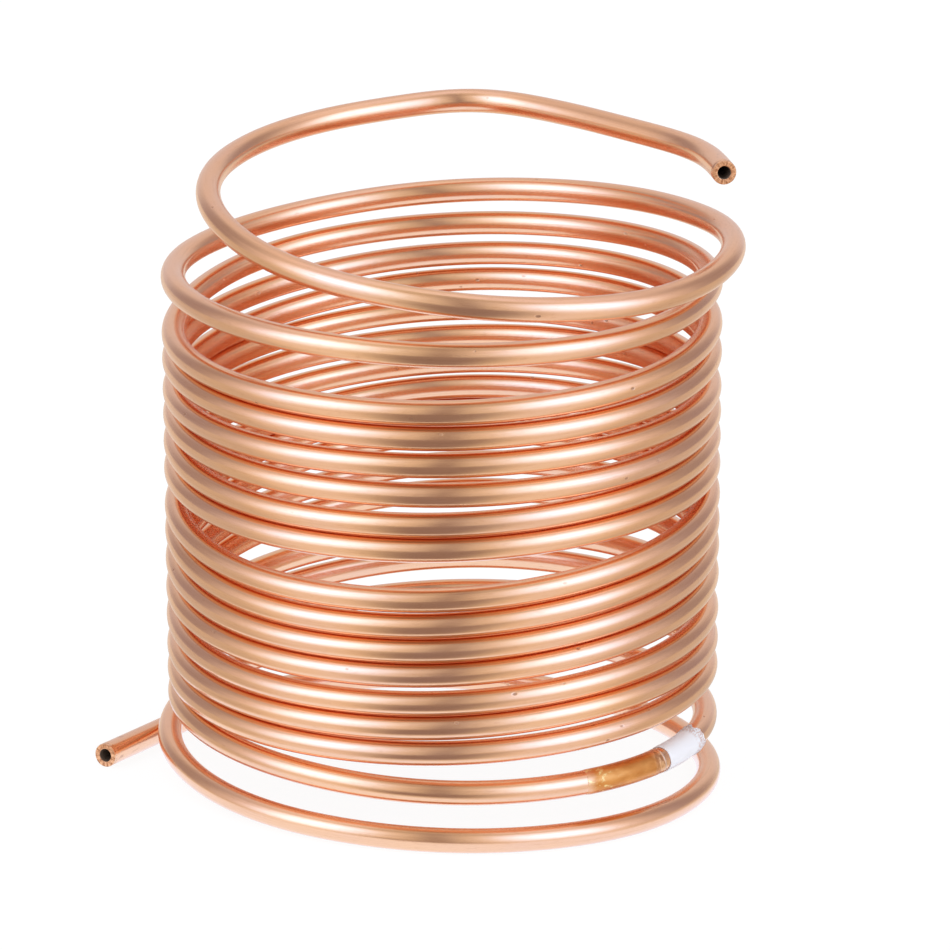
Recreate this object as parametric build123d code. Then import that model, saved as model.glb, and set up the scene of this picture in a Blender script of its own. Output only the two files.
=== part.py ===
from build123d import *
import math
import os

# Copper tube coil: one length of round copper tube wound into a free-standing stack of turns, with
# both ends cut square and open, and a clear strip and a white wrap of tape on one of the lowest turns.
# It stands on its lowest turn. +Z is up, the front is -Y, and the origin is on the floor under the
# middle of the tube's outline. All sizes are in millimetres and all angles in degrees.

# Tube
tube_od = 6.0
wall = 1.4
tube_r = tube_od / 2
bore_r = tube_r - wall

# Radius of the winding's centre line: most turns, then how much tighter the top turn is and how much
# wider the lowest one, and how far the middle of those two lies to the right
coil_r = 65.7
top_tighter = 1.5
low_wider = 1.9
top_shift = 7.4
low_shift = -0.8

# The stack leans a little off the upright
lean_left = 2.3
lean_front = 3.0

# Clear gap between neighbouring turns at eight places round the stack, from the floor up: the first
# of each list is over the turn that lies on the floor. Turns that touch keep the hair gap. On the
# left nothing is under the lowest turn, which sinks towards the floor there, so its gap is below 0.
hair = 0.15
gap_front = [5.0, 4.1, 0.4, hair, 1.0, hair, hair, 0.3, 6.8, hair, 1.5, 1.3, 0.5, hair, 8.1, 5.3]
gap_front_right = [6.8, 6.6, 1.5, 0.3, 1.9, hair, 0.6, 0.3, 4.7, 0.2, hair, 1.4, 1.0, 0.7, 5.8, 2.4]
gap_right = [9.2, 7.5, 0.7, 2.2, 3.1, 1.6, 0.4, 0.9, 1.4, 1.2, 0.3, hair, 3.1, 1.5, 4.7, 3.6]
gap_back_right = [9.3, 6.9, 2.9, 1.8, 4.4, 2.0, 1.4, 0.4, hair, 1.6, 0.9, hair, 2.7, 1.2, 2.1, 3.4]
gap_back = [7.3, 5.7, 3.6, 1.0, 5.6, 1.4, 2.5, hair, hair, 0.3, 0.8, 1.6, 1.8, 0.7, 1.8, 2.6, 18.1]
gap_back_left = [4.1, 3.9, 1.7, 1.0, 4.1, 1.0, 1.7, 1.0, hair, 1.7, 1.5, 0.7, 0.2, 1.7, 3.2, 2.2, 19.3]
gap_left = [-1.3, 5.1, hair, hair, 1.9, 1.0, 1.7, 1.9, hair, 3.2, 1.1, 0.8, hair, 1.9, hair, 8.8, 15.7]
gap_front_left = [7.0, 0.6, hair, hair, 1.4, hair, 0.3, 0.7, 6.2, hair, 1.9, 1.0, 1.3, 0.2, 9.4, 8.8]

# Top end, as angle round the top turn, distance in from its centre line and drop from its height at
# the back: the cut end points to the front, after a bend and a straight run from the knee
top_end = (-4.4, 3.0, 1.3)
top_bend = (19.3, 3.5, 1.6)
top_knee = (67.6, 5.6, 0.4)

# Straight length kept at each cut end, where a fitting slides on
end_straight = 12

# The last turn comes down to the floor between the left and the front: half way, it is this high
touch_down = 0.8

# Lowest turn: from the front round to this angle it lies on the floor, then it leaves the circle and
# runs out straight on the floor past the left of the stack
tail_leave = 151
tail_run = 49.8

# Tape on the right of the front of one turn, counted from the top: a clear strip, then a white wrap.
# The clear strip starts this far into the turn's front right arc.
tape_turn = 16
tape_fit = 0.03
clear_start = 8.8
clear_length = 26.3
clear_thick = 0.2
tape_space = 0.3
white_length = 18.4
white_thick = 0.3

# The route is drawn as straight runs that touch the centre line's circle, one each 45 degrees, and
# each corner is an arc that takes nearly all of its two half runs
corner = 45
fill = 0.96


def stand(x, y, z):
    # A point of the upright stack, leaned to the left and the front, above the floor
    v = Vector(x, y, z).rotate(Axis.Y, -lean_left).rotate(Axis.X, lean_front)
    return Vector(v.X, v.Y, v.Z + tube_r)


def circle(angle, r, shift):
    return r * math.cos(math.radians(angle)) + shift, r * math.sin(math.radians(angle))


def outside(angle):
    # A corner of the runs that touch the circle of this part of the winding
    r, shift = coil_r, 0
    if angle < first_angle["back_right"]:
        r, shift = coil_r - top_tighter, top_shift
    elif angle >= floor_angle - 3 * corner:
        r, shift = coil_r + low_wider, low_shift
    return circle(angle, r / math.cos(math.radians(corner / 2)), shift)


def floor_height(x, y):
    # Height along the leaning stack at which a centre line lies on the floor
    low, high = stand(x, y, 0).Z, stand(x, y, 1).Z
    return (tube_r - low) / (high - low)


# Winding angle: the top turn passes the back at 90 degrees and every turn adds 360. The lowest turn
# is down on the floor from where it passes the front.
columns = {"back": gap_back, "back_left": gap_back_left, "left": gap_left, "front_left": gap_front_left,
           "front": gap_front, "front_right": gap_front_right, "right": gap_right, "back_right": gap_back_right}
first_angle = {side: 90 + corner * i for i, side in enumerate(columns)}
floor_angle = first_angle["front"] + 360 * len(gap_front)

# Heights of the stack's corners, each column built up from the floor
height = {}
for side, gaps in columns.items():
    angle = first_angle[side] + 360 * len(gaps)
    level = floor_height(*outside(floor_angle + (angle - floor_angle) % 360))
    height[angle] = level
    for gap in gaps:
        angle -= 360
        level += tube_od + gap
        height[angle] = level
height[floor_angle - corner] = floor_height(*outside(floor_angle - corner)) + touch_down

# The route from the top end down to the tail
top_back = height[first_angle["back"]]
route = []
for angle, inset, drop in (top_end, top_bend, top_knee):
    route.append(stand(*circle(angle, coil_r - top_tighter - inset, top_shift), top_back - drop))
for angle in range(first_angle["back"], floor_angle + 181, corner):
    x, y = outside(angle)
    route.append(stand(x, y, height[angle] if angle < floor_angle else floor_height(x, y)))
low_r = coil_r + low_wider
start = first_angle["back"] + corner / 2
half = math.radians((tail_leave - start) / 2)
x, y = circle((start + tail_leave) / 2, low_r / math.cos(half), low_shift)
route.append(stand(x, y, floor_height(x, y)))
x, y = circle(tail_leave, low_r, low_shift)
x -= tail_run * math.sin(math.radians(tail_leave))
y += tail_run * math.cos(math.radians(tail_leave))
route.append(stand(x, y, floor_height(x, y)))

# Radius of the arc at each corner: as large as half of the shorter of its two runs allows. The two
# outermost runs keep their straight ends and give the rest of their length to the one arc.
radii = []
for i in range(1, len(route) - 1):
    before, after = route[i] - route[i - 1], route[i + 1] - route[i]
    turn = math.radians(before.get_angle(after))
    room_before = before.length - end_straight if i == 1 else fill * before.length / 2
    room_after = after.length - end_straight if i == len(route) - 2 else fill * after.length / 2
    radii.append(min(room_before, room_after) / math.tan(turn / 2))
print("corners", len(route), "smallest arc radius", round(min(radii), 1))

# Solids
path = FilletPolyline(*route, radius=radii)


def sleeve(line, outer, inner):
    # A round hollow solid along a line
    start = Plane(origin=line @ 0, z_dir=line % 0)
    return sweep(start * Circle(outer), path=line) - sweep(start * Circle(inner), path=line)


def stretch(first, start, span):
    # The part of the route that begins a distance into one of its edges and goes on for a span
    pieces = []
    for edge in path.edges()[first:]:
        a = min(start / edge.length, 1)
        b = min((start + span) / edge.length, 1)
        if b > a:
            pieces.append(edge.trim(a, b))
            span -= (b - a) * edge.length
        start = max(start - edge.length, 0)
        if span < 0.001:
            break
    return Wire(pieces)


tube = sleeve(path, tube_r, bore_r)
tape_corner = 3 + (first_angle["front_right"] + 360 * (tape_turn - 1) - first_angle["back"]) // corner
taped = 2 * tape_corner - 1
tape_bore = tube_r + tape_fit
clear_line = stretch(taped, clear_start, clear_length)
white_line = stretch(taped, clear_start + clear_length + tape_space, white_length)
clear_tape = sleeve(clear_line, tape_bore + clear_thick, tape_bore)
white_tape = sleeve(white_line, tape_bore + white_thick, tape_bore)

# The origin goes under the middle of the tube's outline
middle = tube.bounding_box().center()
to_origin = Pos(-middle.X, -middle.Y, 0)
print("moved", round(-middle.X, 3), round(-middle.Y, 3))
runs = path.edges()
for at, along, run in ((path @ 0, (path % 0) * -1, runs[0]), (path @ 1, path % 1, runs[-1])):
    at = at - Vector(middle.X, middle.Y, 0)
    print("cut end", [round(c, 3) for c in at], "facing", [round(c, 5) for c in along], "straight", round(run.length, 2))

os.makedirs("parts", exist_ok=True)
for name, solid in (("copper_tube", tube), ("white_tape_wrap", white_tape), ("clear_tape_band", clear_tape)):
    solid = to_origin * solid
    box = solid.bounding_box()
    print(name, "volume", round(solid.volume, 1), "valid", solid.is_valid, "box", box.min, box.max)
    export_step(solid, f"parts/{name}.step")
print("length", round(path.length, 1), "expected volume", round(math.pi * (tube_r ** 2 - bore_r ** 2) * path.length))
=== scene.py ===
# %% [markdown]
# # A coil of copper tube
# The object is one length of round copper tube, wound by hand into a stack of turns that stands on the
# floor. Two strips of tape, one clear and one white, sit on a lower turn. The frame gives the tube as a
# solid; here the same tube is drawn again as one smooth surface, so that its metal can carry marks that
# follow the tube. The alternative, a material on the frame's own mesh, has no direction along the tube.

# %% The frame
import bpy
import numpy as np
from mathutils import Euler, Matrix


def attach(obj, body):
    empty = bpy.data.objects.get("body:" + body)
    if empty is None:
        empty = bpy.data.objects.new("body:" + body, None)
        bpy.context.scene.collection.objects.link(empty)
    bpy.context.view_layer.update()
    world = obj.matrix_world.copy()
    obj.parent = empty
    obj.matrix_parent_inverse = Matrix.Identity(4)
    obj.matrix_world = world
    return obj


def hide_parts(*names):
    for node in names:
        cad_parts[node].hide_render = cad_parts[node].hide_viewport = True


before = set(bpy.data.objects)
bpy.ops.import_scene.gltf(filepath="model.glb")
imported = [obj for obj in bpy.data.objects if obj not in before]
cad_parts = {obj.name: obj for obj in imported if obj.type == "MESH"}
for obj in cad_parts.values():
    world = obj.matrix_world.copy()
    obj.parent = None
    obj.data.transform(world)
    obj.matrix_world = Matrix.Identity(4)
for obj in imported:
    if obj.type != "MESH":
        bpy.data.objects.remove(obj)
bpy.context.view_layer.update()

MM = 0.001

# %% [markdown]
# ## The winding in numbers
# The coil is described as a maker would measure it: the tube, the radius it was wound on, and the clear
# gap between neighbouring turns at eight places round the stack, counted up from the floor. All are in
# millimetres, and the whole stack leans a little to the left and to the front. The top turn is tighter
# and further right than the others, and the lowest one is wider.

# %% Sizes of the winding
TUBE_R, BORE_R = 3.0, 1.6
COIL_R, TOP_TIGHTER, LOW_WIDER = 65.7, 1.5, 1.9
TOP_SHIFT, LOW_SHIFT = 7.4, -0.8
LEAN_LEFT, LEAN_FRONT = 2.3, 3.0
TO_ORIGIN = (8.35, 1.983, 0.0)
HAIR = 0.15
GAPS = {
    270: (5.0, 4.1, 0.4, HAIR, 1.0, HAIR, HAIR, 0.3, 6.8, HAIR, 1.5, 1.3, 0.5, HAIR, 8.1, 5.3),
    315: (6.8, 6.6, 1.5, 0.3, 1.9, HAIR, 0.6, 0.3, 4.7, 0.2, HAIR, 1.4, 1.0, 0.7, 5.8, 2.4),
    360: (9.2, 7.5, 0.7, 2.2, 3.1, 1.6, 0.4, 0.9, 1.4, 1.2, 0.3, HAIR, 3.1, 1.5, 4.7, 3.6),
    405: (9.3, 6.9, 2.9, 1.8, 4.4, 2.0, 1.4, 0.4, HAIR, 1.6, 0.9, HAIR, 2.7, 1.2, 2.1, 3.4),
    90: (7.3, 5.7, 3.6, 1.0, 5.6, 1.4, 2.5, HAIR, HAIR, 0.3, 0.8, 1.6, 1.8, 0.7, 1.8, 2.6, 18.1),
    135: (4.1, 3.9, 1.7, 1.0, 4.1, 1.0, 1.7, 1.0, HAIR, 1.7, 1.5, 0.7, 0.2, 1.7, 3.2, 2.2, 19.3),
    180: (-1.3, 5.1, HAIR, HAIR, 1.9, 1.0, 1.7, 1.9, HAIR, 3.2, 1.1, 0.8, HAIR, 1.9, HAIR, 8.8, 15.7),
    225: (7.0, 0.6, HAIR, HAIR, 1.4, HAIR, 0.3, 0.7, 6.2, HAIR, 1.9, 1.0, 1.3, 0.2, 9.4, 8.8),
}
TOP_END, TOP_BEND, TOP_KNEE = (-4.4, 3.0, 1.3), (19.3, 3.5, 1.6), (67.6, 5.6, 0.4)
END_STRAIGHT, TOUCH_DOWN = 12, 0.8
TAIL_LEAVE, TAIL_RUN = 151, 49.8
CORNER, FILL = 45, 0.96
FIRST_ANGLE, TOP_TURN_END = 90, 405
FLOOR_ANGLE = 270 + 360 * len(GAPS[270])
LOW_TURN_START = FLOOR_ANGLE - 3 * CORNER
print("turns:", round((FLOOR_ANGLE + (TAIL_LEAVE - FLOOR_ANGLE) % 360 - TOP_END[0]) / 360, 1))

# %% [markdown]
# ## From gaps to a route
# Each turn is eight straight runs that touch the winding's circle, one each 45 degrees. The height of a
# corner is worked out from the floor up: every gap adds itself and one tube thickness. Two rotations
# then lean the finished stack, as one matrix.


# %% The corners of the route
def turned(axis, degrees):
    """Rotation matrix about one axis, as an array."""
    return np.array(Matrix.Rotation(np.radians(degrees), 3, axis))


LEAN = turned("X", LEAN_FRONT) @ turned("Y", -LEAN_LEFT)


def stand(x, y, z):
    """Point of the upright stack, leaned, and lifted by the tube's radius."""
    return LEAN @ np.array([x, y, z]) + [0, 0, TUBE_R]


def on_circle(angle, radius, shift):
    """Point of a circle at an angle, with the circle's centre moved to the right by shift."""
    return radius * np.cos(np.radians(angle)) + shift, radius * np.sin(np.radians(angle))


def run_corner(angle):
    """Corner of the runs that touch the circle: the radius over the cosine of half a corner's angle."""
    radius, shift = COIL_R, 0.0
    if angle < TOP_TURN_END:
        radius, shift = COIL_R - TOP_TIGHTER, TOP_SHIFT
    elif angle >= LOW_TURN_START:
        radius, shift = COIL_R + LOW_WIDER, LOW_SHIFT
    return on_circle(angle, radius / np.cos(np.radians(CORNER / 2)), shift)


def floor_level(x, y):
    """Height in the leaning stack at which the tube just lies on the floor."""
    return -(LEAN[2] @ [x, y, 0]) / LEAN[2, 2]


heights = {}
for first, gaps in GAPS.items():
    angle = first + 360 * len(gaps)
    level = floor_level(*run_corner(FLOOR_ANGLE + (angle - FLOOR_ANGLE) % 360))
    heights[angle] = level
    for gap in gaps:
        angle, level = angle - 360, level + 2 * TUBE_R + gap
        heights[angle] = level
heights[FLOOR_ANGLE - CORNER] = floor_level(*run_corner(FLOOR_ANGLE - CORNER)) + TOUCH_DOWN

route = [stand(*on_circle(angle, COIL_R - TOP_TIGHTER - inset, TOP_SHIFT), heights[FIRST_ANGLE] - drop)
         for angle, inset, drop in (TOP_END, TOP_BEND, TOP_KNEE)]
for angle in range(FIRST_ANGLE, FLOOR_ANGLE + 181, CORNER):
    x, y = run_corner(angle)
    route.append(stand(x, y, heights[angle] if angle < FLOOR_ANGLE else floor_level(x, y)))
low_r, last_tangent = COIL_R + LOW_WIDER, 90 + CORNER / 2
half_turn = np.radians((TAIL_LEAVE - last_tangent) / 2)
x, y = on_circle((last_tangent + TAIL_LEAVE) / 2, low_r / np.cos(half_turn), LOW_SHIFT)
route.append(stand(x, y, floor_level(x, y)))
x, y = on_circle(TAIL_LEAVE, low_r, LOW_SHIFT)
x -= TAIL_RUN * np.sin(np.radians(TAIL_LEAVE))
y += TAIL_RUN * np.cos(np.radians(TAIL_LEAVE))
route.append(stand(x, y, floor_level(x, y)))
route = np.array(route) + TO_ORIGIN
print("corners:", len(route), "heights from", route[:, 2].min().round(1), "to", route[:, 2].max().round(1))

# %% [markdown]
# ## A smooth centre line
# Bent tube has no corners: each one becomes an arc that uses up nearly all of the two half runs beside
# it. All the arcs are worked out at once: each is its centre plus two spokes, weighted by the sines of
# the angles to them. A soft average over a few millimetres then evens out the small jumps in curvature
# where arcs meet, because polished metal shows every one of them as a kink in its highlights.

# %% Arcs, then one point each millimetre
ARC_STEPS, EVEN_OUT, WINDOW = 48, 6.0, 20


def run_lengths(points):
    """Distance from the first point to each point along the line."""
    return np.r_[0, np.cumsum(np.linalg.norm(np.diff(points, axis=0), axis=1))]


def at_lengths(where, lengths, values):
    """Values in between the points of a line, coordinate by coordinate."""
    return np.stack([np.interp(where, lengths, values[..., i]) for i in range(values.shape[-1])], -1)


before, after = route[1:-1] - route[:-2], route[2:] - route[1:-1]
len_before, len_after = np.linalg.norm(before, axis=1), np.linalg.norm(after, axis=1)
before, after = before / len_before[:, None], after / len_after[:, None]
bend = np.arccos(np.clip((before * after).sum(1), -1, 1))
room_before, room_after = FILL * len_before / 2, FILL * len_after / 2
room_before[0], room_after[-1] = len_before[0] - END_STRAIGHT, len_after[-1] - END_STRAIGHT
reach = np.minimum(room_before, room_after)

radius = (reach / np.tan(bend / 2))[:, None]
middle = (after - before) / np.linalg.norm(after - before, axis=1)[:, None]
centre = route[1:-1] + middle * radius / np.cos(bend / 2)[:, None]
first_spoke = route[1:-1] - before * reach[:, None] - centre
last_spoke = route[1:-1] + after * reach[:, None] - centre
step, angle = np.linspace(0, 1, ARC_STEPS)[None, :, None], bend[:, None, None]
spokes = np.sin(angle * (1 - step)) * first_spoke[:, None] + np.sin(angle * step) * last_spoke[:, None]
arcs = centre[:, None] + spokes / np.sin(angle)

line = np.vstack([route[:1], arcs.reshape(-1, 3), route[-1:]])
lengths = run_lengths(line)
arc_start = lengths[1::ARC_STEPS][:len(arcs)]
TUBE_LENGTH = lengths[-1]
station = np.arange(0, TUBE_LENGTH, 1.0)
raw_line = at_lengths(station, lengths, line)

weights = np.exp(-0.5 * (np.arange(-WINDOW, WINDOW + 1) / EVEN_OUT) ** 2)
weights /= weights.sum()
lead_in = raw_line[:1] + (raw_line[:1] - raw_line[1:2]) * np.arange(WINDOW, 0, -1)[:, None]
lead_out = raw_line[-1:] + (raw_line[-1:] - raw_line[-2:-1]) * np.arange(1, WINDOW + 1)[:, None]
padded_line = np.vstack([lead_in, raw_line, lead_out])
centre_line = np.stack([np.convolve(padded_line[:, i], weights, "valid") for i in range(3)], 1)
print("tube length in mm:", round(TUBE_LENGTH), "most moved by evening out:",
      np.linalg.norm(centre_line - raw_line, axis=1).max().round(2))

# %% [markdown]
# ## Directions across the tube
# To wrap a surface round the line, every station needs two directions across it. The stack's own
# upright direction gives one, made square to the tube, and the other points away from the coil's
# middle. A point of the surface is then given by three numbers: how far along, which way round, and how
# far out.

# %% Surface points from along, around and out
tangent = np.gradient(centre_line, axis=0)
tangent /= np.linalg.norm(tangent, axis=1)[:, None]
upward = LEAN[:, 2] - tangent * (tangent @ LEAN[:, 2])[:, None]
upward /= np.linalg.norm(upward, axis=1)[:, None]
outward = np.cross(tangent, upward)


def tube_points(along, around, out):
    """Centre at this length, plus out times (cosine of around outward, sine of around upward)."""
    centre, away, up = (at_lengths(along, station, v) for v in (centre_line, outward, upward))
    past_ends = np.clip(along, None, 0) + np.clip(along - station[-1], 0, None)
    centre = centre + at_lengths(along, station, tangent) * past_ends[..., None]
    return centre + (np.cos(around) * out)[..., None] * away + (np.sin(around) * out)[..., None] * up


def add_marks(mesh, name, kind, field, values):
    """Numbers kept at each point of a mesh, for its material."""
    layer = mesh.attributes.new(name, kind, "POINT")
    layer.data.foreach_set(field, np.asarray(values, np.float32).ravel())


def closed_volume(points, faces):
    """Volume inside four-sided faces, each cut into two triangles."""
    a, b, c, d = (points[faces[:, i]] for i in range(4))
    return ((a * np.cross(b, c)).sum() + (a * np.cross(c, d)).sum()) / 6


def ring_surface(name, along, around, out, marks):
    """A mesh from rings that close on themselves, the last ring joined to the first. It goes from
    millimetres to metres, and keeps each point's place on the tube as an attribute."""
    along, around, out = np.broadcast_arrays(along, around, out)
    points = tube_points(along, around, out).reshape(-1, 3) * MM
    index = np.arange(along.size).reshape(along.shape)
    below, beside = np.roll(index, -1, 0), np.roll(index, -1, 1)
    faces = np.stack([index, beside, np.roll(below, -1, 1), below], -1).reshape(-1, 4)
    mesh = bpy.data.meshes.new(name)
    mesh.from_pydata(points.tolist(), [], faces.tolist())
    mesh.shade_smooth()
    place = np.stack([np.cos(around) * out, np.sin(around) * out, along], -1) * MM
    add_marks(mesh, "tube_place", "FLOAT_VECTOR", "vector", place)
    for key, values in marks.items():
        add_marks(mesh, key, "FLOAT", "value", np.broadcast_to(values, along.shape))
    piece = bpy.data.objects.new(name, mesh)
    bpy.context.scene.collection.objects.link(piece)
    print(name, "faces:", len(faces), "volume in cubic cm:", round(closed_volume(points, faces) * 1e6, 2))
    return piece


# %% [markdown]
# ## The copper tube
# The tube is one closed surface: along the outside, over one cut face, back through the bore and over
# the other face. The wheel of a tube cutter leaves a fine groove a millimetre behind each face and a
# small rounded rim. The outside has one ring each three millimetres, the bore far fewer, because only
# its mouths are ever seen. Each ring also keeps what kind of surface it is, 0 outside, 1 cut face and 2
# bore, and how near it is to an end, where the tube is more worn.

# %% The tube
SIDES = 28
OUTSIDE, FACE, BORE = 0, 1, 2
RIM = 0.2
GROOVE_AT, GROOVE_DEEP, GROOVE_HALF = 0.95, 0.22, 0.32
OUTER_FROM, OUTER_STEP = 2.6, 3.0
BORE_FROM, BORE_STEP = 3.0, 9.0
WORN_REACH = 18.0

# Distance behind the face, radius and kind, from the bore over the face and the groove to the outside
profile = np.array([
    (0.9, BORE_R, BORE), (0.35, BORE_R, BORE), (0.12, BORE_R + 0.03, BORE),
    (0.03, BORE_R + 0.11, FACE), (0.0, BORE_R + 0.2, FACE), (0.0, BORE_R + 0.5, FACE),
    (0.0, TUBE_R - 0.5, FACE), (0.0, TUBE_R - RIM - 0.06, FACE), (0.02, TUBE_R - RIM * 0.6, FACE),
    (RIM * 0.4, TUBE_R - 0.04, 0.3), (RIM + 0.05, TUBE_R, OUTSIDE),
    (GROOVE_AT - GROOVE_HALF - 0.1, TUBE_R, OUTSIDE), (GROOVE_AT - GROOVE_HALF, TUBE_R - 0.01, OUTSIDE),
    (GROOVE_AT, TUBE_R - GROOVE_DEEP, OUTSIDE), (GROOVE_AT + GROOVE_HALF, TUBE_R - 0.01, OUTSIDE),
    (GROOVE_AT + GROOVE_HALF + 0.1, TUBE_R, OUTSIDE)])
outer = np.linspace(OUTER_FROM, TUBE_LENGTH - OUTER_FROM, int(TUBE_LENGTH / OUTER_STEP))
inner = np.linspace(TUBE_LENGTH - BORE_FROM, BORE_FROM, int(TUBE_LENGTH / BORE_STEP))
along = np.r_[profile[:, 0], outer, TUBE_LENGTH - profile[::-1, 0], inner]
out = np.r_[profile[:, 1], np.full(outer.shape, TUBE_R), profile[::-1, 1], np.full(inner.shape, BORE_R)]
kind = np.r_[profile[:, 2], np.full(outer.shape, OUTSIDE), profile[::-1, 2], np.full(inner.shape, BORE)]
worn = np.exp(-np.minimum(along, TUBE_LENGTH - along) / WORN_REACH)
around = np.linspace(0, 2 * np.pi, SIDES, endpoint=False)[None, :]
tube = ring_surface("copper_tube_wound", along[:, None], -around, out[:, None],
                    {"kind": kind[:, None], "worn": worn[:, None]})

# %% [markdown]
# ## The two strips of tape
# Each strip is wrapped once round the tube, so it is a thin sleeve with an inside and an outside. The
# clear one has gone amber with age and ends in a puckered lip. The white one is smooth, but its far end
# is torn, with threads that stand up. Both ends are uneven round the tube, which a plain sleeve would
# not show, so the length along the tube also varies with the way round.

# %% Tape surfaces
TAPE_CORNER = 3 + (315 + 360 * 15 - FIRST_ANGLE) // CORNER
CLEAR_START = arc_start[TAPE_CORNER - 1] + 8.8
CLEAR_LENGTH, TAPE_SPACE, WHITE_LENGTH = 26.3, 0.3, 18.4
TAPE_FIT, CLEAR_THICK, WHITE_THICK, THINNEST = 0.03, 0.2, 0.3, 0.02
TAPE_ROWS, TAPE_SIDES, WAVES = 120, 96, 12
tape_around = np.linspace(0, 2 * np.pi, TAPE_SIDES, endpoint=False)[None, :]


def wavy(angle, seed, rough=1.0):
    """A sum of sines of the way round, with amplitudes and starts drawn from the seed."""
    draw = np.random.default_rng(seed)
    waves = np.arange(1, WAVES + 1)
    size = draw.normal(size=WAVES) / waves ** rough
    start = draw.uniform(0, 2 * np.pi, WAVES)
    return sum(a * np.sin(w * angle + s) for w, a, s in zip(waves, size, start))


def bump_at(share, place, width):
    """A rounded ridge across the strip, 1 high."""
    return np.exp(-((share - place) / width) ** 2)


def tape_sleeve(name, start, length, thick, near_edge, far_edge, swell, taper, sink=0.0, blunt=0.0):
    """Outside rows from start to end, then inside rows back. The edges move along the tube by
    near_edge and far_edge of the way round, and swell adds to the thickness. Each edge thins out over
    taper, a share of the length, but keeps blunt of its thickness. With sink, in millimetres, the first
    edge starts inside the tube's skin, as film that clings to the metal seems to."""
    share = np.linspace(0, 1, TAPE_ROWS)[:, None]
    run = start + length * share
    run = run + near_edge(tape_around) * (1 - share) ** 6 + far_edge(tape_around) * share ** 6
    from_start = np.clip(share / taper, 0, 1)
    from_edges = np.clip(np.minimum(share, 1 - share) / taper + blunt, 0, 1)
    inside, sunk = TUBE_R + TAPE_FIT, sink * (1 - from_start)
    top = inside - sunk + thick * from_edges + swell(share, tape_around) * from_start
    top = np.maximum(top, inside - sunk + THINNEST)
    base = np.broadcast_to(inside - 1.5 * sunk, top.shape)
    return ring_surface(name, np.vstack([run, run[::-1]]), -tape_around, np.vstack([top, base[::-1]]),
                        {"share": np.vstack([share, share[::-1]])})


def clear_swell(share, angle):
    """Thinner film, two wrinkles that lean across its far end, and the rolled lip."""
    lean = share + 0.035 * np.sin(angle + 0.6)
    wrinkles = 0.035 * bump_at(lean, 0.83, 0.012) + 0.045 * bump_at(lean, 0.9, 0.012)
    return wrinkles + 0.2 * bump_at(share, 0.978, 0.016) - 0.12


def white_swell(share, angle):
    """Long folds that follow the wrap, and sharp threads at the torn end."""
    folds = 0.035 * wavy(angle + 2.5 * share, 8) * np.clip(share * 4, 0, 1)
    weave = np.sin(22 * angle + 60 * share) * np.sin(17 * angle - 75 * share)
    threads = 0.06 * weave + 0.072 * np.abs(wavy(angle * 3 + 16 * share, 9, 0.3))
    return folds + threads * np.clip((share - 0.7) / 0.15, 0, 1)


clear_tape = tape_sleeve("clear_tape_strip", CLEAR_START, CLEAR_LENGTH, CLEAR_THICK,
                         lambda a: 0.25 * wavy(a, 1), lambda a: 0.7 * np.sin(a - 0.9) - 0.7,
                         clear_swell, taper=0.06, sink=0.06)
white_tape = tape_sleeve("white_tape_wrapping", CLEAR_START + CLEAR_LENGTH + TAPE_SPACE, WHITE_LENGTH,
                         WHITE_THICK, lambda a: 0.1 * wavy(a, 2), lambda a: 0.45 * wavy(a, 3, 0.5) - 0.8,
                         white_swell, taper=0.015, blunt=0.3)

# %% [markdown]
# ## Shader maths as Python
# A material is a graph of small nodes. Writing each link by hand hides the formula, so one class wraps
# a socket and lets Python's own operators add the Math nodes.


# %% Nodes from expressions
class Value:
    """A socket of a node tree. Operators on it add Math nodes."""

    def __init__(self, paint, socket):
        self.paint, self.socket = paint, socket

    def math(self, operation, *others):
        return self.paint.add("ShaderNodeMath", {"operation": operation}, [self, *others])

    def __add__(self, other):
        return self.math("ADD", other)

    def __mul__(self, other):
        return self.math("MULTIPLY", other)

    def __sub__(self, other):
        return self.math("SUBTRACT", other)

    def __rsub__(self, other):
        return self * -1.0 + other

    __radd__, __rmul__ = __add__, __mul__

    def between(self, low, high):
        """0 below low, 1 above high, with a soft step in between."""
        settings = {"interpolation_type": "SMOOTHSTEP"}
        return self.paint.add("ShaderNodeMapRange", settings, [self, low, high])

    def hill(self, foot, top, end_of_top, end):
        """Rises softly from foot to top, then falls from end_of_top to end."""
        return self.between(foot, top) * (1 - self.between(end_of_top, end))


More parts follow.
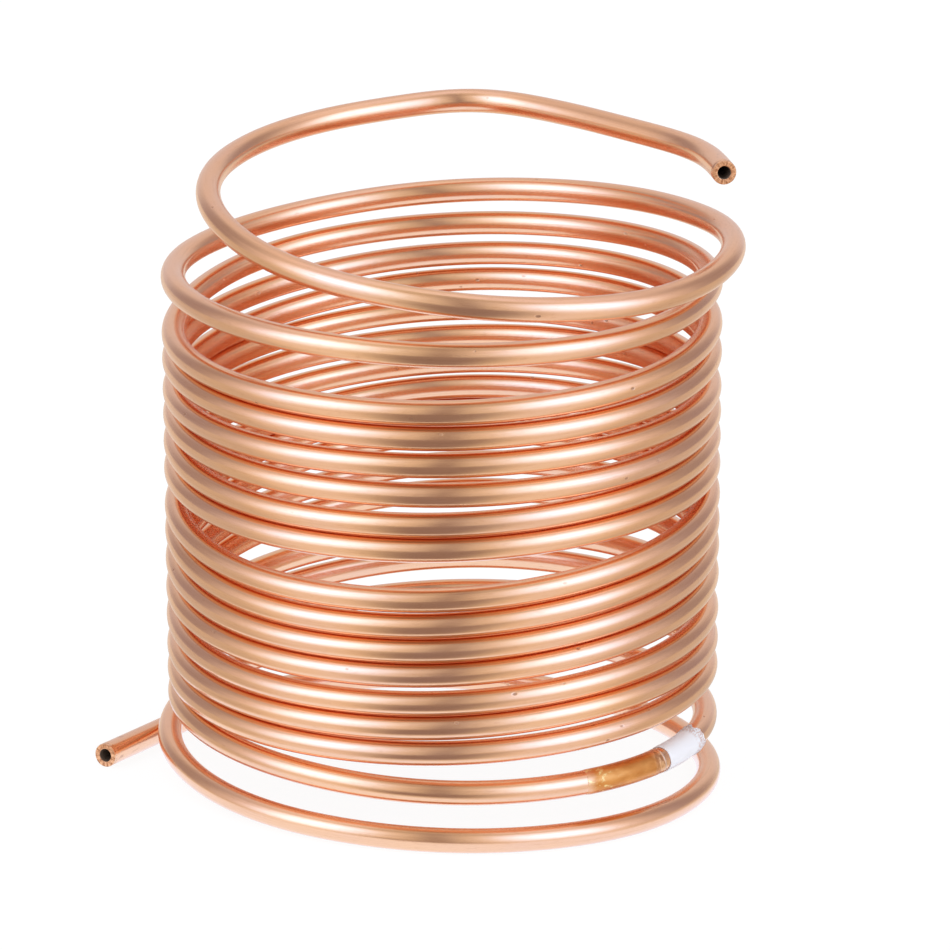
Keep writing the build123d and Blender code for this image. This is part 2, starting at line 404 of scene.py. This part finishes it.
class Paint:
    """Adds nodes to one tree, each from its type, its settings and the values of its sockets."""

    def __init__(self, tree):
        self.tree = tree
        tree.nodes.clear()

    def add(self, kind, settings, values, result=0):
        node = self.tree.nodes.new(kind)
        for key, setting in settings.items():
            setattr(node, key, setting)
        pairs = values.items() if isinstance(values, dict) else enumerate(values)
        for key, value in pairs:
            if isinstance(value, Value):
                self.tree.links.new(value.socket, node.inputs[key])
            else:
                node.inputs[key].default_value = value
        return Value(self, node.outputs[result]) if len(node.outputs) else node

    def mix(self, share, first, second):
        """From the first colour to the second as share goes from 0 to 1. The node has sockets for
        numbers and vectors too; the ones for colours are inputs 6 and 7 and output 2."""
        ends = [c if isinstance(c, Value) else (*c, 1.0) for c in (first, second)]
        return self.add("ShaderNodeMix", {"data_type": "RGBA"}, {0: share, 6: ends[0], 7: ends[1]}, 2)

    def mark(self, name, result="Fac"):
        """What the mesh keeps at each point under a name."""
        return self.add("ShaderNodeAttribute", {"attribute_name": name}, [], result)

    def place(self, *scale):
        """The point's place on the tube, stretched by a factor each way."""
        where = self.mark("tube_place", "Vector")
        return self.add("ShaderNodeVectorMath", {"operation": "MULTIPLY"}, [where, scale or (1, 1, 1)])

    def noise(self, vector, scale, detail, rough=0.5):
        return self.add("ShaderNodeTexNoise", {}, {"Vector": vector, "Scale": scale, "Detail": detail,
                                                   "Roughness": rough})

    def spots(self, vector, scale):
        """Distance to the nearest of many scattered points."""
        return self.add("ShaderNodeTexVoronoi", {}, {"Vector": vector, "Scale": scale})

    def bump(self, height, strength, distance):
        values = {"Strength": strength, "Distance": distance, "Height": height}
        return self.add("ShaderNodeBump", {}, values)

    def coordinates(self, which):
        """The three parts of the texture coordinate with this name."""
        vector = self.add("ShaderNodeTexCoord", {}, [], which)
        split = self.add("ShaderNodeSeparateXYZ", {}, [vector])
        return [Value(self, socket) for socket in split.socket.node.outputs]

    def ray(self, which):
        """1 for rays of one sort, such as "Is Camera Ray", and 0 for all others."""
        return self.add("ShaderNodeLightPath", {}, [], which)


def new_material(name):
    material = bpy.data.materials.new(name)
    material.use_nodes = True
    return material, Paint(material.node_tree)


def finish_material(paint, **inputs):
    """One Principled shader, with its sockets named by words joined with underscores."""
    values = {key.replace("_", " ").title(): value for key, value in inputs.items()}
    shader = paint.add("ShaderNodeBsdfPrincipled", {}, values)
    paint.add("ShaderNodeOutputMaterial", {}, {"Surface": shader})


def dress(piece, material, node):
    """Gives a piece its material and its body, and hides the frame's node that it stands for."""
    piece.data.materials.append(material)
    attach(piece, "root")
    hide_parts(node)
    print(piece.name, "stands for", node, "with", len(material.node_tree.nodes), "shader nodes")


# %% [markdown]
# ## Drawn copper
# New copper tube is drawn through a die, which leaves a satin skin with fine lines along it. Handling
# adds paler and darker patches, small dark pits, faint dents and, near the ends, scuffs. The lines come
# from a noise that is stretched far along the tube, so it has no seam. The cut faces are rougher, with
# strokes outward from the bore, and the bore is dull and painted dark brown, as painted shade of the
# tube's inside.

# %% Copper material
SKIN, SKIN_PINK, SKIN_PALE = (0.94, 0.515, 0.285), (0.91, 0.515, 0.32), (0.94, 0.55, 0.285)
DRAWN_LINE, FINE_GRAIN = (0.80, 0.41, 0.22), (0.78, 0.38, 0.20)
PIT, SCUFF = (0.36, 0.16, 0.085), (0.50, 0.24, 0.14)
CUT_DARK, CUT_BRIGHT, BORE_PAINTED_SHADE = (0.45, 0.16, 0.06), (1.0, 0.52, 0.26), (0.17, 0.12, 0.085)

copper, paint = new_material("drawn_copper")
kind_of = paint.mark("kind")
bore = kind_of.between(1.2, 1.8)
face = kind_of.between(0.2, 0.8) * (1 - bore)
near_end = paint.mark("worn")

lines = paint.noise(paint.place(1, 1, 0.012), 2600.0, 2.0)
bands = paint.noise(paint.place(1, 1, 0.05), 420.0, 2.0)
patches = paint.noise(paint.place(1, 1, 0.35), 90.0, 3.0, 0.6)
clouds = paint.noise(paint.place(1, 1, 0.5), 24.0, 2.0)
fine = paint.noise(paint.place(1, 1, 0.25), 1700.0, 3.0, 0.6)
specks = 1 - paint.spots(paint.place(1, 1, 0.6), 260.0).between(0.05, 0.13)
pits = specks * paint.noise(paint.place(), 75.0, 1.0).between(0.56, 0.66)
scuffs = paint.noise(paint.place(1, 1, 0.3), 700.0, 3.0, 0.6).between(0.56, 0.7) * near_end
round_face = paint.add("ShaderNodeVectorMath", {"operation": "NORMALIZE"}, [paint.place(1, 1, 0)])
strokes = paint.noise(round_face, 6.0, 5.0, 0.8)
grains = paint.noise(paint.place(), 1300.0, 2.0)

skin = paint.mix(patches.between(0.35, 0.7), SKIN, SKIN_PINK)
skin = paint.mix(clouds.between(0.5, 0.75) * 0.5, skin, SKIN_PALE)
skin = paint.mix(lines.between(0.5, 0.75) * 0.3, skin, DRAWN_LINE)
skin = paint.mix(fine.between(0.52, 0.75) * 0.3, skin, FINE_GRAIN)
skin = paint.mix(pits * 0.65, skin, PIT)
skin = paint.mix(scuffs * 0.7, skin, SCUFF)
cut = paint.mix((strokes * 0.6 + grains * 0.4).between(0.38, 0.6), CUT_DARK, CUT_BRIGHT)
# The bore gets a dark brown colour: painted shade of the tube's inside.
colour = paint.mix(bore, paint.mix(face, skin, cut), BORE_PAINTED_SHADE)

rough = 0.11 + bands * 0.10 + patches * 0.07 + fine * 0.07 + pits * 0.3 + face * 0.28 + bore * 0.3
height = lines * 0.35 + bands * 0.9 + clouds * 2.4 + strokes * face * 4.0 - pits * 5.0
finish_material(paint, base_color=colour, metallic=1 - bore * 0.9 - face * 0.15, roughness=rough,
                normal=paint.bump(height, 0.35, 0.00004))
dress(tube, copper, "copper_tube")

# %% [markdown]
# ## Amber film and white tape
# The clear strip lets the copper show through, golden. Since only copper is ever behind it, it is
# painted as amber metal under a glossy coat, which looks the same from all sides and needs no
# see-through sorting. It starts in the colour of the copper, where the film is thin, has small golden
# glints there, which are painted highlights in its colour, and crumples towards its lip, with painted
# shade in dark patches on the creases and a pale band before the lip that is a painted highlight. The
# white tape is a smooth, slightly bluish plastic that turns into bare threads.

# %% Tape materials
AMBER_DEEP, AMBER, PAINTED_GLINT = (0.68, 0.235, 0.042), (0.84, 0.35, 0.085), (1.0, 0.75, 0.3)
THIN_FILM, LIP_PAINTED_HIGHLIGHT = (0.93, 0.51, 0.28), (0.92, 0.60, 0.42)
CREASE_PAINTED_SHADE, CREASE = (0.62, 0.27, 0.11), (0.93, 0.50, 0.24)
WHITE, BARE_THREAD = (0.92, 0.925, 0.96), (0.72, 0.56, 0.52)

amber, paint = new_material("amber_film")
along_film = paint.mark("share")
painted_glint_noise = paint.noise(paint.place(1, 1, 0.5), 1100.0, 3.0, 0.6)
mottle = paint.noise(paint.place(1, 1, 0.4), 300.0, 3.0)
creases = paint.noise(paint.place(1, 1, 1.6), 620.0, 2.0)
puckered = along_film.between(0.78, 0.9)
colour = paint.mix(mottle.between(0.35, 0.65), AMBER_DEEP, AMBER)
colour = paint.mix((along_film + painted_glint_noise * 0.1).between(0.03, 0.16), THIN_FILM, colour)
# Painted highlight: small golden glints painted into the film's colour near its thin start.
colour = paint.mix(painted_glint_noise.between(0.54, 0.68) * (1 - along_film.between(0.1, 0.4)), colour, PAINTED_GLINT)
# Painted shade: dark patches on the crumpled film's creases, mixed with its coppery colour by the crease
# noise.
colour = paint.mix(puckered, colour, paint.mix(creases.between(0.4, 0.56), CREASE_PAINTED_SHADE, CREASE))
# Painted highlight: a pale band just before the rolled lip.
colour = paint.mix(along_film.between(0.955, 0.975), colour, LIP_PAINTED_HIGHLIGHT)
height = painted_glint_noise * 0.5 + creases * puckered * 2.0
finish_material(paint, base_color=colour, metallic=0.9, roughness=0.3 + mottle * 0.2, coat_weight=0.3,
                coat_roughness=0.15, normal=paint.bump(height, 0.5, 0.00006))
dress(clear_tape, amber, "clear_tape_band")

white, paint = new_material("white_plastic_tape")
torn = paint.mark("share").between(0.7, 0.8)
weave = paint.noise(paint.place(1, 1, 0.35), 2400.0, 3.0)
colour = paint.mix(torn * weave.between(0.44, 0.56), WHITE, BARE_THREAD)
finish_material(paint, base_color=colour, roughness=0.35 + torn * 0.3,
                normal=paint.bump(weave * torn, 0.6, 0.00012))
dress(white_tape, white, "white_tape_wrap")

# %% [markdown]
# ## Light
# Bright copper shows what stands round it. The coil stands in a pale tent with two wide soft lights to
# the left and right of the camera. Between them, where the camera looks in, is a dark gap, which gives
# the brown band down the middle of the coil. Two more dark parts, a little behind the left and the
# right, shade its edges, and the ceiling is dimmer over the camera than elsewhere.
#
# A camera whitens the brightest parts of a picture, so the light itself turns bluish where it is strong,
# but only for mirrors: matt surfaces get the same light nearly without colour. Light that goes to and
# fro between two turns gets redder each time, so the renderer follows it for more mirrorings than usual.

# %% Light from a direction
TENT, SOFTBOX, GAP, SIDE_DARK = 0.76, 2.2, 0.27, 0.40
STRONG, WEAK = 0.9, 0.6
MIRRORINGS = 10
WHITE_LIGHT = (1.0, 1.0, 1.0)


def tone(level, blue=0.95):
    """Colour of light at a level. The part above STRONG has less red and more blue, so that copper goes
    white in it, and light below WEAK has less green, so that copper goes brown."""
    above = (level - STRONG).math("MAXIMUM", 0.0)
    below = (WEAK - level).math("MAXIMUM", 0.0)
    parts = [level - above * 0.5, level + above * 0.12 - below * 0.13, level * blue + above * 1.4]
    return level.paint.add("ShaderNodeCombineColor", {}, parts)


def degrees_aside(x, y):
    """Angle away from the camera's side, both ways, in degrees."""
    return x.math("ARCTAN2", y * -1.0).math("ABSOLUTE") * (180 / np.pi)


world = bpy.data.worlds.new("white_tent")
bpy.context.scene.world = world
world.use_nodes = True
paint = Paint(world.node_tree)
x, y, z = paint.coordinates("Generated")
aside, elevation = degrees_aside(x, y), z.math("ARCSINE") * (180 / np.pi)
softbox = aside.hill(13, 50, 58, 92) * elevation.hill(-22, 24, 38, 68)
front_gap = 1 - aside.between(0, 13)
side_dark = aside.hill(88, 118, 130, 158) * (1 - elevation.between(35, 60))
ceiling = elevation.between(50, 65) * (aside.between(40, 85) * 0.36 - 0.14)
level = TENT + softbox * (SOFTBOX - TENT) - front_gap * (TENT - GAP)
level = level - side_dark * (TENT - SIDE_DARK) + ceiling
matt_sees = paint.add("ShaderNodeCombineColor", {}, [level * 1.07, level * 1.08, level * 1.13])
metal_sees = tone(level, aside.between(60, 95) * 0.14 + 0.95)
colour = paint.mix(paint.ray("Is Glossy Ray"), matt_sees, metal_sees)
colour = paint.mix(paint.ray("Is Camera Ray"), colour, WHITE_LIGHT)
light = paint.add("ShaderNodeBackground", {}, {"Color": colour, "Strength": 1.0})
paint.add("ShaderNodeOutputWorld", {}, {"Surface": light})
bpy.context.scene.cycles.glossy_bounces = MIRRORINGS
print("tent nodes:", len(world.node_tree.nodes))

# %% [markdown]
# ## Floor
# The camera sees a white floor that keeps a faint shadow: mostly its own glow, with a share of a matt
# surface that the coil can shade. What the copper mirrors of it is darker in front and far to the
# sides, as a table in a dim room is, and bright close to the coil. The directions are taken from a
# point a little in front of the coil's middle.

# %% A floor that differs for the camera and for mirrors
HALF_FLOOR, ASIDE_FROM = 4.0, 0.04
FLOOR_FRONT, CLOSE_BRIGHT = 0.32, 1.2
CAMERA_GLOW, GLOW_SHARE, FLOOR_MATT = (1.06, 1.06, 1.06), 0.86, (0.86, 0.86, 0.87, 1.0)

corners = [(x * HALF_FLOOR, y * HALF_FLOOR, 0.0) for x, y in ((-1, -1), (1, -1), (1, 1), (-1, 1))]
floor_mesh = bpy.data.meshes.new("floor")
floor_mesh.from_pydata(corners, [], [(0, 1, 2, 3)])
floor = bpy.data.objects.new("floor", floor_mesh)
bpy.context.scene.collection.objects.link(floor)

floor_material, paint = new_material("white_floor")
x, y, _ = paint.coordinates("Object")
aside = degrees_aside(x, y + ASIDE_FROM)
away = (x * x + y * y).math("SQRT")
level = FLOOR_FRONT + aside.between(10, 47) * 0.66 - aside.between(62, 92) * 0.30
level = level + aside.between(125, 150) * 0.2 + aside.hill(14, 50, 62, 92) * away.between(0.25, 1.0) * 0.35
close_by = 1 - away.between(0.078, 0.098)
level = level + close_by * (CLOSE_BRIGHT - level)
mirrored = paint.ray("Is Glossy Ray")
matt = paint.add("ShaderNodeBsdfDiffuse", {}, {"Color": FLOOR_MATT})
glow = paint.mix(mirrored, CAMERA_GLOW, tone(level))
glow = paint.add("ShaderNodeEmission", {}, {"Color": glow, "Strength": 1.0})
glow_share = mirrored + paint.ray("Is Camera Ray") * GLOW_SHARE
both = paint.add("ShaderNodeMixShader", {}, [glow_share, matt, glow])
paint.add("ShaderNodeOutputMaterial", {}, {"Surface": both})
floor_mesh.materials.append(floor_material)
print("floor nodes:", len(floor_material.node_tree.nodes))

# %% [markdown]
# ## The camera
# A long lens from the front, a little above the coil, looking slightly down. The place and the turn
# were worked out from where the turns of the winding appear in the picture.

# %% Camera
camera_data = bpy.data.cameras.new("camera")
camera_data.sensor_width, camera_data.lens = 36.0, 202.05
camera_data.clip_start, camera_data.clip_end = 0.05, 30.0
camera = bpy.data.objects.new("camera", camera_data)
turn = Euler(np.radians((75.431, -2.297, -0.120)))
camera.matrix_world = Matrix.Translation((-0.002497, -1.277441, 0.408238)) @ turn.to_matrix().to_4x4()
bpy.context.scene.collection.objects.link(camera)
bpy.context.scene.camera = camera
bpy.context.scene.view_settings.view_transform = "Standard"
print("camera is", round(camera.matrix_world.translation.length, 2), "m from the coil")
